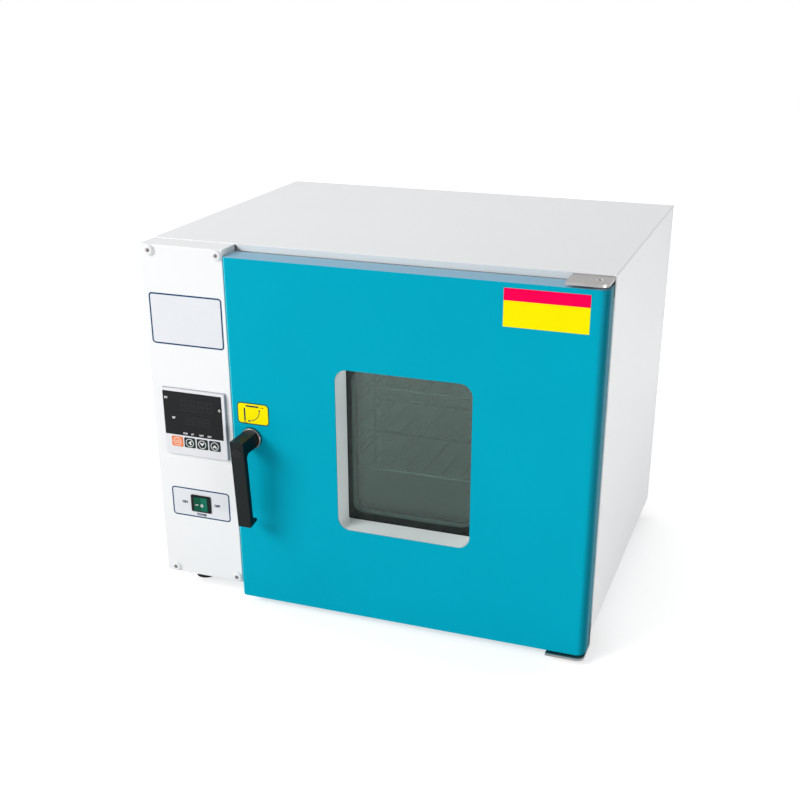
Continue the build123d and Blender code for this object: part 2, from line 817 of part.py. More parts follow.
# Wire racks on both sides of the chamber: posts on the wall, rungs on the posts
rack_y0 = liner_y0 + rack_front
rung_zs = [chamber_z0 + rung_first + i * rung_pitch for i in range(rung_count)]
for name, wall_x, inward in (("rack_left", chamber_x0, 1), ("rack_right", chamber_x1, -1)):
    with BuildPart() as rack:
        for post_y in (rack_y0 + 20.0, rack_y0 + rack_length - 20.0):
            with BuildSketch(level(chamber_z0)):
                with Locations((wall_x + inward * (rack_post + running_gap), post_y)):
                    Circle(rack_post)
            extrude(amount=chamber_height - rack_above)
        with BuildSketch(facing(rack_y0 + rack_length)):
            with Locations([(wall_x + inward * rung_inset, rung_z) for rung_z in rung_zs]):
                Circle(rung_radius)
        extrude(amount=rack_length)
    rack.part.label = name
    export_step(rack.part, "parts/" + name + ".step")

# Wire shelves that slide on the rungs
shelf_y0 = liner_y0 + shelf_setback
shelf_x0 = chamber_x0 + shelf_inset
shelf_x1 = chamber_x1 - shelf_inset
rod_distance = rung_radius + shelf_rod + running_gap
shelf_lift = sqrt(rod_distance**2 - (shelf_inset - rung_inset) ** 2)
for name, rung in (("shelf_lower", 1), ("shelf_upper", 4)):
    shelf_z = rung_zs[rung] + shelf_lift
    with BuildPart() as shelf:
        with BuildSketch(facing(shelf_y0 + shelf_depth)):
            with Locations((shelf_x0, shelf_z), (shelf_x1, shelf_z)):
                Circle(shelf_rod)
            with Locations((chamber_cx, shelf_z + shelf_rod + weld_gap + shelf_wire)):
                with GridLocations((shelf_x1 - shelf_x0) / (shelf_wires + 1), 1, shelf_wires, 1):
                    Circle(shelf_wire)
        extrude(amount=shelf_depth)
        for rod_y in (shelf_y0 + shelf_rod, shelf_y0 + shelf_depth / 2, shelf_y0 + shelf_depth - shelf_rod):
            with BuildSketch(across(shelf_x0 + shelf_rod + weld_gap)):
                with Locations((rod_y, shelf_z)):
                    Circle(shelf_rod)
            extrude(amount=shelf_x1 - shelf_x0 - 2 * (shelf_rod + weld_gap))
    shelf.part.label = name
    export_step(shelf.part, "parts/" + name + ".step")

# Door skin: folded pan with a large bend on the hinge side
reliefs = (
    (door_z0 - 1.0, base + leg_rise + leg_clearance),
    (top_leaf_z0 - leg_drop - leg_clearance, door_z1 + 1.0),
)
relief_x0 = pin_x - 20.0
relief_x1 = door_x1 + 1.0
with BuildPart() as door_skin:
    with BuildSketch(level(door_z0)) as door_plan:
        with Locations((door_cx, (door_y0 + door_y1) / 2)):
            Rectangle(door_width, door_depth)
        front_corners = door_plan.vertices().group_by(Axis.Y)[0].sort_by(Axis.X)
        fillet(front_corners[-1], door_bend)
        fillet(door_plan.vertices().group_by(Axis.Y)[-1].sort_by(Axis.X)[-1], door_back_corner)
        fillet(door_plan.vertices().group_by(Axis.Y)[0].sort_by(Axis.X)[0], door_edge)
    extrude(amount=door_height)
    top_rim = door_skin.edges().group_by(Axis.Z)[-1].filter_by_position(Axis.Y, door_y0 - 1, door_y1 - 1)
    fillet(top_rim, door_rim)
    with BuildSketch(level(door_z0 + door_sheet)) as door_hollow:
        with Locations((door_cx, (door_y0 + door_sheet + door_y1 + 1.0) / 2)):
            Rectangle(door_width - 2 * door_sheet, door_depth - door_sheet + 1.0)
        fillet(door_hollow.vertices().group_by(Axis.Y)[0].sort_by(Axis.X)[-1], door_bend - door_sheet)
        fillet(door_hollow.vertices().group_by(Axis.Y)[0].sort_by(Axis.X)[0], door_edge - door_sheet)
    extrude(amount=door_height - 2 * door_sheet, mode=Mode.SUBTRACT)
    with BuildSketch(facing(door_y1)):
        Polygon(
            (door_x0 + 1.0, door_z0 + 1.0),
            (door_x0 + door_corner, door_z0 + 1.0),
            (door_x0 + 1.0, door_z0 + door_corner),
            align=None,
        )
    extrude(amount=door_depth - 1.0)
    with BuildSketch(facing(door_y1)):
        with Locations((door_x0 + door_corner / 2, door_z0 + door_corner / 2)):
            Rectangle(door_corner, door_corner)
        with Locations((door_x0 + door_corner, door_z0 + door_corner)):
            Circle(door_corner, mode=Mode.SUBTRACT)
    extrude(amount=door_depth, mode=Mode.SUBTRACT)
    with BuildSketch(facing(door_y1)):
        with Locations((chamber_cx, chamber_cz)):
            RectangleRounded(window_width, window_height, window_corner)
        with Locations((handle_x, handle_z)):
            Circle(spigot_radius + 1.0)
    extrude(amount=door_depth + 1.0, mode=Mode.SUBTRACT)
    with BuildSketch(facing(door_y1)):
        for relief_z0, relief_z1 in reliefs:
            with Locations(((relief_x0 + relief_x1) / 2, (relief_z0 + relief_z1) / 2)):
                Rectangle(relief_x1 - relief_x0, relief_z1 - relief_z0)
    extrude(amount=relief_depth, mode=Mode.SUBTRACT)
    with BuildSketch(level(door_z0 - 1.0)):
        with Locations((pin_x, pin_y)):
            Circle(pin_radius + 1.5)
    extrude(amount=door_height + 2.0, mode=Mode.SUBTRACT)
door_skin.part.label = "door_skin"
export_step(door_skin.part, "parts/door_skin.step")

# Inner door panel: flat pan with a plug that enters the mouth of the chamber
panel_gap = door_sheet + 0.2
slot_width = 12.0
slot_height = 16.0
keeper_x = door_x0 + 8.0
keeper_width = 7.0
keeper_plate = 2.5
keeper_arm_z = handle_z + cam_height / 2 + 1.0
with BuildPart() as door_inner_panel:
    with BuildSketch(facing(door_y1)):
        with Locations((door_cx, door_cz)):
            RectangleRounded(door_width - 2 * panel_gap, door_height - 2 * panel_gap, door_corner)
    extrude(amount=door_sheet)
    with BuildSketch(facing(plug_y1)):
        with Locations((chamber_cx, chamber_cz)):
            RectangleRounded(plug_width, plug_height, chamber_corner)
    extrude(amount=plug_y1 - door_y1)
    with BuildSketch(facing(plug_y1 - door_sheet)):
        with Locations((chamber_cx, chamber_cz)):
            RectangleRounded(
                plug_width - 2 * door_sheet, plug_height - 2 * door_sheet, chamber_corner - door_sheet
            )
    extrude(amount=plug_y1 - door_y1 + 1.0, mode=Mode.SUBTRACT)
    with BuildSketch(facing(plug_y1)):
        with Locations((chamber_cx, chamber_cz)):
            RectangleRounded(inner_window_width, inner_window_height, window_corner - 4.0)
        for relief_z0, relief_z1 in reliefs:
            with Locations(((relief_x0 + relief_x1) / 2, (relief_z0 + relief_z1) / 2)):
                Rectangle(relief_x1 - relief_x0, relief_z1 - relief_z0)
        with Locations((keeper_x, keeper_arm_z + keeper_plate / 2)):
            Rectangle(slot_width, slot_height)
    extrude(amount=plug_y1 - door_y1 + 2.0, mode=Mode.SUBTRACT)
door_inner_panel.part.label = "door_inner_panel"
export_step(door_inner_panel.part, "parts/door_inner_panel.step")

# Insulation between the door skins
with BuildPart() as door_insulation:
    with BuildSketch(facing(door_y1 - door_sheet - 0.2)):
        with Locations((door_cx - 12.0, door_cz)):
            Rectangle(door_width - insulation_narrower, door_height - 2 * door_sheet - 1.0)
        with Locations((chamber_cx, chamber_cz)):
            Rectangle(glass_width + 4.0, glass_height + 4.0, mode=Mode.SUBTRACT)
        with Locations((door_x0 + latch_pocket_width / 2, handle_z)):
            Rectangle(latch_pocket_width, latch_pocket_height, mode=Mode.SUBTRACT)
    extrude(amount=door_depth - 2 * door_sheet - 0.4)
door_insulation.part.label = "door_insulation"
export_step(door_insulation.part, "parts/door_insulation.step")

# Window: white reveal, outer pane, spacer, inner pane and its seal
with BuildPart() as window_reveal:
    with BuildSketch(facing(reveal_y1)):
        with Locations((chamber_cx, chamber_cz)):
            RectangleRounded(
                window_width + 2 * reveal_wall, window_height + 2 * reveal_wall, mitre_corner + reveal_wall
            )
    extrude(amount=reveal_depth - door_sheet)
    with BuildSketch(facing(reveal_y1)):
        with Locations((chamber_cx, chamber_cz)):
            RectangleRounded(window_width - 2 * window_taper, window_height - 2 * window_taper, mitre_corner)
    with BuildSketch(facing(door_y0 + door_sheet)):
        with Locations((chamber_cx, chamber_cz)):
            RectangleRounded(window_width, window_height, window_corner)
    loft(mode=Mode.SUBTRACT)
window_reveal.part.label = "window_reveal"
export_step(window_reveal.part, "parts/window_reveal.step")

with BuildPart() as outer_glass:
    with BuildSketch(facing(reveal_y1 + outer_glass_thickness)):
        with Locations((chamber_cx, chamber_cz)):
            RectangleRounded(glass_width, glass_height, 6.0)
    extrude(amount=outer_glass_thickness)
outer_glass.part.label = "outer_glass"
export_step(outer_glass.part, "parts/outer_glass.step")

with BuildPart() as glass_spacer:
    with BuildSketch(facing(inner_glass_y0)):
        with Locations((chamber_cx, chamber_cz)):
            RectangleRounded(glass_width, glass_height, 6.0)
            RectangleRounded(
                inner_window_width + 6.0, inner_window_height + 6.0, window_corner - 2.0, mode=Mode.SUBTRACT
            )
    extrude(amount=glass_gap)
glass_spacer.part.label = "glass_spacer"
export_step(glass_spacer.part, "parts/glass_spacer.step")

with BuildPart() as inner_glass:
    with BuildSketch(facing(inner_glass_y1)):
        with Locations((chamber_cx, chamber_cz)):
            RectangleRounded(glass_width, glass_height, 6.0)
    extrude(amount=inner_glass_thickness)
inner_glass.part.label = "inner_glass"
export_step(inner_glass.part, "parts/inner_glass.step")

with BuildPart() as inner_glass_seal:
    with BuildSketch(facing(plug_y1 - door_sheet)):
        with Locations((chamber_cx, chamber_cz)):
            RectangleRounded(glass_width, glass_height, 6.0)
            RectangleRounded(
                inner_window_width + 2.0, inner_window_height + 2.0, window_corner - 3.0, mode=Mode.SUBTRACT
            )
    extrude(amount=plug_y1 - door_sheet - inner_glass_y1)
inner_glass_seal.part.label = "inner_glass_seal"
export_step(inner_glass_seal.part, "parts/inner_glass_seal.step")

# Silicone gasket around the mouth
gasket_inner_width = chamber_width + 2 * gasket_gap
gasket_inner_height = chamber_height + 2 * gasket_gap
with BuildPart() as door_gasket:
    with BuildSketch(facing(frame_y - running_gap)):
        with Locations((chamber_cx, chamber_cz)):
            RectangleRounded(
                gasket_inner_width + 2 * gasket_width,
                gasket_inner_height + 2 * gasket_width,
                chamber_corner + gasket_width,
            )
            RectangleRounded(gasket_inner_width, gasket_inner_height, chamber_corner, mode=Mode.SUBTRACT)
    extrude(amount=frame_y - running_gap - door_y1)
    fillet(door_gasket.edges().group_by(Axis.Y)[-1], 2.0)
door_gasket.part.label = "door_gasket"
export_step(door_gasket.part, "parts/door_gasket.step")

# Hinges: angle brackets on the cabinet, pins, spacers, and bushes in the door
leg_screw_xs = (leaf_x0 + 13.0, leaf_x1 - 13.0)
hinge_sides = (
    ("top", top_leaf_z0, 1, top_leaf_front, door_z1),
    ("bottom", bottom_leaf_z0, -1, bottom_leaf_front, door_z0),
)
for side, leaf_z0, up, leaf_front, door_face in hinge_sides:
    leg_z0 = leaf_z0 - leg_drop if up > 0 else leaf_z0
    leg_height = leg_drop + leaf_plate if up > 0 else base + leg_rise - leaf_z0
    leg_screw_z = leg_z0 + 10.0 if up > 0 else leg_z0 + leg_height - 7.0
    with BuildPart() as hinge_bracket:
        with BuildSketch(level(leaf_z0)) as leaf:
            with Locations(((leaf_x0 + leaf_x1) / 2, (front - leaf_front + frame_y) / 2)):
                Rectangle(leaf_length, leaf_front + frame_recess)
            fillet(leaf.vertices().group_by(Axis.Y)[0].sort_by(Axis.X)[-1], leaf_corner)
        extrude(amount=leaf_plate)
        with BuildSketch(facing(frame_y)):
            with Locations(((leaf_x0 + leaf_x1) / 2, leg_z0 + leg_height / 2)):
                Rectangle(leaf_length, leg_height)
        extrude(amount=leaf_plate)
        with BuildSketch(level(leaf_z0)):
            with Locations((pin_x, pin_y)):
                Circle(pin_radius + pin_clearance)
        extrude(amount=leaf_plate, mode=Mode.SUBTRACT)
        with BuildSketch(facing(frame_y)):
            with Locations([(x, leg_screw_z) for x in leg_screw_xs]):
                Circle(2.7)
        extrude(amount=leaf_plate, mode=Mode.SUBTRACT)
    hinge_bracket.part.label = "hinge_bracket_" + side
    export_step(hinge_bracket.part, "parts/hinge_bracket_" + side + ".step")

    with BuildPart() as bracket_screws:
        with BuildSketch(facing(frame_y - leaf_plate)):
            with Locations([(x, leg_screw_z) for x in leg_screw_xs]):
                Circle(4.5)
        extrude(amount=0.8)
        with BuildSketch(facing(frame_y)):
            with Locations([(x, leg_screw_z) for x in leg_screw_xs]):
                Circle(2.5)
        extrude(amount=leaf_plate)
    bracket_screws.part.label = "bracket_screws_" + side
    export_step(bracket_screws.part, "parts/bracket_screws_" + side + ".step")

    pin_outer = leaf_z0 + leaf_plate - 0.2 if up > 0 else leaf_z0 + 0.2
    pin_inner = door_face - up * (door_sheet + bush_height - 1.0)
    with BuildPart() as hinge_pin:
        with BuildSketch(level(min(pin_outer, pin_inner))):
            with Locations((pin_x, pin_y)):
                Circle(pin_radius)
        extrude(amount=abs(pin_outer - pin_inner))
        with BuildSketch(level(pin_outer)):
            with Locations((pin_x, pin_y)):
                Circle(pin_bore)
        extrude(amount=-up * pin_bore_depth, mode=Mode.SUBTRACT)
    hinge_pin.part.label = "hinge_pin_" + side
    export_step(hinge_pin.part, "parts/hinge_pin_" + side + ".step")

    leaf_face = leaf_z0 if up > 0 else leaf_z0 + leaf_plate
    spacer_height = abs(leaf_face - door_face) - running_gap
    with BuildPart() as hinge_spacer:
        with BuildSketch(level(min(leaf_face, leaf_face - up * spacer_height))):
            with Locations((pin_x, pin_y)):
                Circle(8.0)
                Circle(pin_radius + pin_clearance, mode=Mode.SUBTRACT)
        extrude(amount=spacer_height)
    hinge_spacer.part.label = "hinge_spacer_" + side
    export_step(hinge_spacer.part, "parts/hinge_spacer_" + side + ".step")

    bush_face = door_face - up * door_sheet
    with BuildPart() as hinge_bush:
        with BuildSketch(level(min(bush_face, bush_face - up * bush_height))):
            with Locations((pin_x, pin_y)):
                RectangleRounded(bush_size, bush_size - 4.0, 2.0)
                Circle(pin_radius + pin_clearance, mode=Mode.SUBTRACT)
        extrude(amount=bush_height)
    hinge_bush.part.label = "hinge_bush_" + side
    export_step(hinge_bush.part, "parts/hinge_bush_" + side + ".step")

# Handle: chrome rose, lever with a flat grip, spindle, plug and latch cam
with BuildPart() as handle_rose:
    with BuildSketch(facing(door_y0)):
        with Locations((handle_x, handle_z)):
            Circle(rose_radius)
            Circle(spigot_radius + pin_clearance, mode=Mode.SUBTRACT)
    extrude(amount=rose_thickness)
    fillet(handle_rose.edges().group_by(Axis.Y)[0].sort_by(SortBy.LENGTH)[-1], 1.8)
handle_rose.part.label = "handle_rose"
export_step(handle_rose.part, "parts/handle_rose.step")

lever_back = door_y0 - rose_thickness - running_gap
lever_front = door_y0 - handle_reach
toe_front = door_y0 - handle_toe_reach
lever_top = handle_z + handle_size / 2
lever_bottom = handle_z - handle_length
grip_top_back = lever_front + 11.0
grip_low_back = toe_front + 8.0
with BuildPart() as handle_lever:
    with BuildSketch(across(handle_x - handle_size / 2)):
        with BuildLine():
            Polyline(
                (lever_back, handle_z - handle_size / 2),
                (lever_back, lever_top),
                (lever_front, lever_top),
                (toe_front, lever_bottom),
            )
            toe = Line((toe_front, lever_bottom), (toe_front + handle_toe_depth, lever_bottom + 3.0))
            toe_end = Line(toe @ 1, (toe_front + handle_toe_depth, lever_bottom + 7.0))
            sole = ThreePointArc(
                toe_end @ 1,
                (toe_front + 11.5, lever_bottom + 9.0),
                (grip_low_back, lever_bottom + 17.0),
            )
            back = Line(sole @ 1, (grip_top_back, handle_z - handle_size / 2 - 4.0))
            Line(back @ 1, (grip_top_back + 4.0, handle_z - handle_size / 2))
            Line((grip_top_back + 4.0, handle_z - handle_size / 2), (lever_back, handle_z - handle_size / 2))
        make_face()
    extrude(amount=handle_size)
    grip_edges = (
        handle_lever.faces().filter_by_position(Axis.X, handle_x - 11, handle_x + 11).filter_by(Axis.X).edges()
    )
    fillet(grip_edges, 1.2)
    with BuildSketch(facing(lever_back)):
        with Locations((handle_x, handle_z)):
            Circle(spigot_radius)
    extrude(amount=-rose_thickness)
    with BuildSketch(facing(lever_back + rose_thickness)):
        with Locations((handle_x, handle_z)):
            Rectangle(spindle_size + 0.1, spindle_size + 0.1)
    extrude(amount=22.0 + rose_thickness, mode=Mode.SUBTRACT)
handle_lever.part.label = "handle_lever"
export_step(handle_lever.part, "parts/handle_lever.step")

grip_slope = (handle_reach - handle_toe_reach) / (handle_length + handle_size / 2)
plug_drop = 6.0
plug_radius = 7.2
plug_plane = Plane(
    origin=(handle_x, lever_front + grip_slope * (plug_drop + handle_size / 2), handle_z - plug_drop),
    x_dir=(1, 0, 0),
    z_dir=(0, -1, -grip_slope),
)
with BuildPart() as handle_plug:
    with BuildSketch(plug_plane):
        Circle(plug_radius)
    extrude(amount=0.6)
    fillet(handle_plug.edges().sort_by(Axis.Y)[0], 0.3)
handle_plug.part.label = "handle_plug"
export_step(handle_plug.part, "parts/handle_plug.step")

cam_y1 = front - cam_front + cam_thickness
with BuildPart() as handle_spindle:
    with BuildSketch(facing(cam_y1 + 3.0)):
        with Locations((handle_x, handle_z)):
            Rectangle(spindle_size, spindle_size)
    extrude(amount=cam_y1 + 3.0 - (lever_back - 20.0))
handle_spindle.part.label = "handle_spindle"
export_step(handle_spindle.part, "parts/handle_spindle.step")

with BuildPart() as latch_cam:
    with BuildSketch(facing(cam_y1)):
        with Locations((handle_x, handle_z)):
            Circle(9.0)
        with Locations((handle_x - cam_length / 2, handle_z)):
            Rectangle(cam_length, cam_height)
        with Locations((handle_x, handle_z)):
            Rectangle(spindle_size + 0.1, spindle_size + 0.1, mode=Mode.SUBTRACT)
    extrude(amount=cam_thickness)
latch_cam.part.label = "latch_cam"
export_step(latch_cam.part, "parts/latch_cam.step")

# Keeper on the cabinet: foot on the frame and an arm over the latch cam
with BuildPart() as latch_keeper:
    with BuildSketch(facing(frame_y)):
        with Locations((keeper_x, keeper_arm_z + 8.0)):
            Rectangle(keeper_width, 16.0)
    extrude(amount=keeper_plate)
    with BuildSketch(facing(frame_y)):
        with Locations((keeper_x, keeper_arm_z + keeper_plate / 2)):
            Rectangle(keeper_width, keeper_plate)
    extrude(amount=frame_recess + cam_front + 1.0)
latch_keeper.part.label = "latch_keeper"
export_step(latch_keeper.part, "parts/latch_keeper.step")
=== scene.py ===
"""Looks of a bench-top laboratory drying oven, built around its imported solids.

Metres, +Z up, front faces -Y.
"""

import json
from math import cos, pi, radians, sin

import bmesh
import bpy
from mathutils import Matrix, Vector


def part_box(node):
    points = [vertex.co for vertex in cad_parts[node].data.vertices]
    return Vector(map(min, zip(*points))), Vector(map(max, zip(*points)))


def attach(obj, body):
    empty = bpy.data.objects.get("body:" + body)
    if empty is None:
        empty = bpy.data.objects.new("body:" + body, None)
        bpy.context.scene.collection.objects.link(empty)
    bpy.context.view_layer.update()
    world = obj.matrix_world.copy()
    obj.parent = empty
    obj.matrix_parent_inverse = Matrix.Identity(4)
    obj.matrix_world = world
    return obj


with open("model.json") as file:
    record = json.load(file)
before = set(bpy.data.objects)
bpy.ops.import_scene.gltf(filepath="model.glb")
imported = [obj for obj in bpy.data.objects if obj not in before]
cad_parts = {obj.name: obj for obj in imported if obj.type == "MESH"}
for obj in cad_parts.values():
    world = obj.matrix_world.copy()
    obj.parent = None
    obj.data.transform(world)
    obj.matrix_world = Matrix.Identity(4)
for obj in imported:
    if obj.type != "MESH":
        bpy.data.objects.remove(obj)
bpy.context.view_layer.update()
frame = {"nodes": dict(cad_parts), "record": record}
nodes = frame["nodes"]

MM = 0.001
panel_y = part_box("control_panel")[0][1]
door_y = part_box("door_skin")[0][1]

sheet = 0.25 * MM  # thickness of the printed plates
film = 0.20 * MM  # thickness of the door's labels
print_depth = 0.08 * MM  # thickness of lettering on the plates
ink_depth = 0.05 * MM  # thickness of print on labels and on the display


# Materials
def wire(tree, a, b):
    tree.links.new(a, b)


def material(
    name, color, rough=0.5, metal=0.0, vary=0.04, vary_scale=30.0, bump=None, coat=0.0,
    streak=None, rough_vary=0.06, specular=0.5, wear=None, painted_light_by_facing=(),
):
    """Procedural finish: colour drift, roughness drift, optional fine bumps, streaks, worn edges and painted light
    by facing.

    The last argument lists (axis, from, to, colour, share): painted light, a highlight or shade colour blended in
    where the surface turns towards an axis.
    """
    mat = bpy.data.materials.new(name)
    mat.use_nodes = True
    tree = mat.node_tree
    shader = tree.nodes["Principled BSDF"]
    shader.inputs["Metallic"].default_value = metal
    shader.inputs["Specular IOR Level"].default_value = specular
    shader.inputs["IOR"].default_value = 1.5
    shader.inputs["Coat Weight"].default_value = coat
    shader.inputs["Coat Roughness"].default_value = 0.12
    where = tree.nodes.new("ShaderNodeTexCoord")
    mapping = tree.nodes.new("ShaderNodeMapping")
    wire(tree, where.outputs["Object"], mapping.inputs["Vector"])
    if streak:
        mapping.inputs["Scale"].default_value = streak
    drift = tree.nodes.new("ShaderNodeTexNoise")
    drift.inputs["Scale"].default_value = vary_scale
    drift.inputs["Detail"].default_value = 4.0
    wire(tree, mapping.outputs["Vector"], drift.inputs["Vector"])
    ramp = tree.nodes.new("ShaderNodeMapRange")
    ramp.inputs["From Min"].default_value = 0.3
    ramp.inputs["From Max"].default_value = 0.7
    wire(tree, drift.outputs["Fac"], ramp.inputs["Value"])
    mix = tree.nodes.new("ShaderNodeMix")
    mix.data_type = "RGBA"
    mix.inputs["A"].default_value = [c * (1 - vary) for c in color[:3]] + [1.0]
    mix.inputs["B"].default_value = [min(c * (1 + vary), 1.0) for c in color[:3]] + [1.0]
    wire(tree, ramp.outputs["Result"], mix.inputs["Factor"])
    tint = mix.outputs["Result"]
    # Painted highlight or painted shade: blend each listed colour in by how far the surface normal leans to its
    # axis.
    if painted_light_by_facing:
        split = tree.nodes.new("ShaderNodeSeparateXYZ")
        wire(tree, where.outputs["Normal"], split.inputs["Vector"])
    for axis, first, last, painted_colour, share in painted_light_by_facing:
        lean = tree.nodes.new("ShaderNodeMapRange")
        lean.inputs["From Min"].default_value = first
        lean.inputs["From Max"].default_value = last
        lean.inputs["To Max"].default_value = share
        wire(tree, split.outputs[axis], lean.inputs["Value"])
        painted_light_mix = tree.nodes.new("ShaderNodeMix")
        painted_light_mix.data_type = "RGBA"
        painted_light_mix.inputs["B"].default_value = [*painted_colour, 1.0]
        wire(tree, lean.outputs["Result"], painted_light_mix.inputs["Factor"])
        wire(tree, tint, painted_light_mix.inputs["A"])
        tint = painted_light_mix.outputs["Result"]
    if wear:
        edge = tree.nodes.new("ShaderNodeNewGeometry")
        pick = tree.nodes.new("ShaderNodeMapRange")
        pick.inputs["From Min"].default_value = 0.52
        pick.inputs["From Max"].default_value = 0.62
        pick.inputs["To Max"].default_value = 0.5
        wire(tree, edge.outputs["Pointiness"], pick.inputs["Value"])
        worn = tree.nodes.new("ShaderNodeMix")
        worn.data_type = "RGBA"
        worn.inputs["B"].default_value = list(wear) + [1.0]
        wire(tree, pick.outputs["Result"], worn.inputs["Factor"])
        wire(tree, tint, worn.inputs["A"])
        tint = worn.outputs["Result"]
    wire(tree, tint, shader.inputs["Base Color"])
    dull = tree.nodes.new("ShaderNodeMapRange")
    dull.inputs["To Min"].default_value = max(rough - rough_vary, 0.02)
    dull.inputs["To Max"].default_value = min(rough + rough_vary, 1.0)
    wire(tree, drift.outputs["Fac"], dull.inputs["Value"])
    wire(tree, dull.outputs["Result"], shader.inputs["Roughness"])
    if bump:
        scale, strength, height = bump
        fine = tree.nodes.new("ShaderNodeTexNoise")
        fine.inputs["Scale"].default_value = scale
        fine.inputs["Detail"].default_value = 3.0
        wire(tree, mapping.outputs["Vector"], fine.inputs["Vector"])
        raised = tree.nodes.new("ShaderNodeBump")
        raised.inputs["Strength"].default_value = strength
        raised.inputs["Distance"].default_value = height
        wire(tree, fine.outputs["Fac"], raised.inputs["Height"])
        wire(tree, raised.outputs["Normal"], shader.inputs["Normal"])
    return mat


def glass(name, tint):
    mat = material(name, tint, rough=0.03, vary=0.02, vary_scale=12.0, rough_vary=0.01)
    shader = mat.node_tree.nodes["Principled BSDF"]
    shader.inputs["Transmission Weight"].default_value = 1.0
    shader.inputs["IOR"].default_value = 1.46
    shader.inputs["Specular Tint"].default_value = (0.84, 1.0, 0.95, 1.0)
    return mat


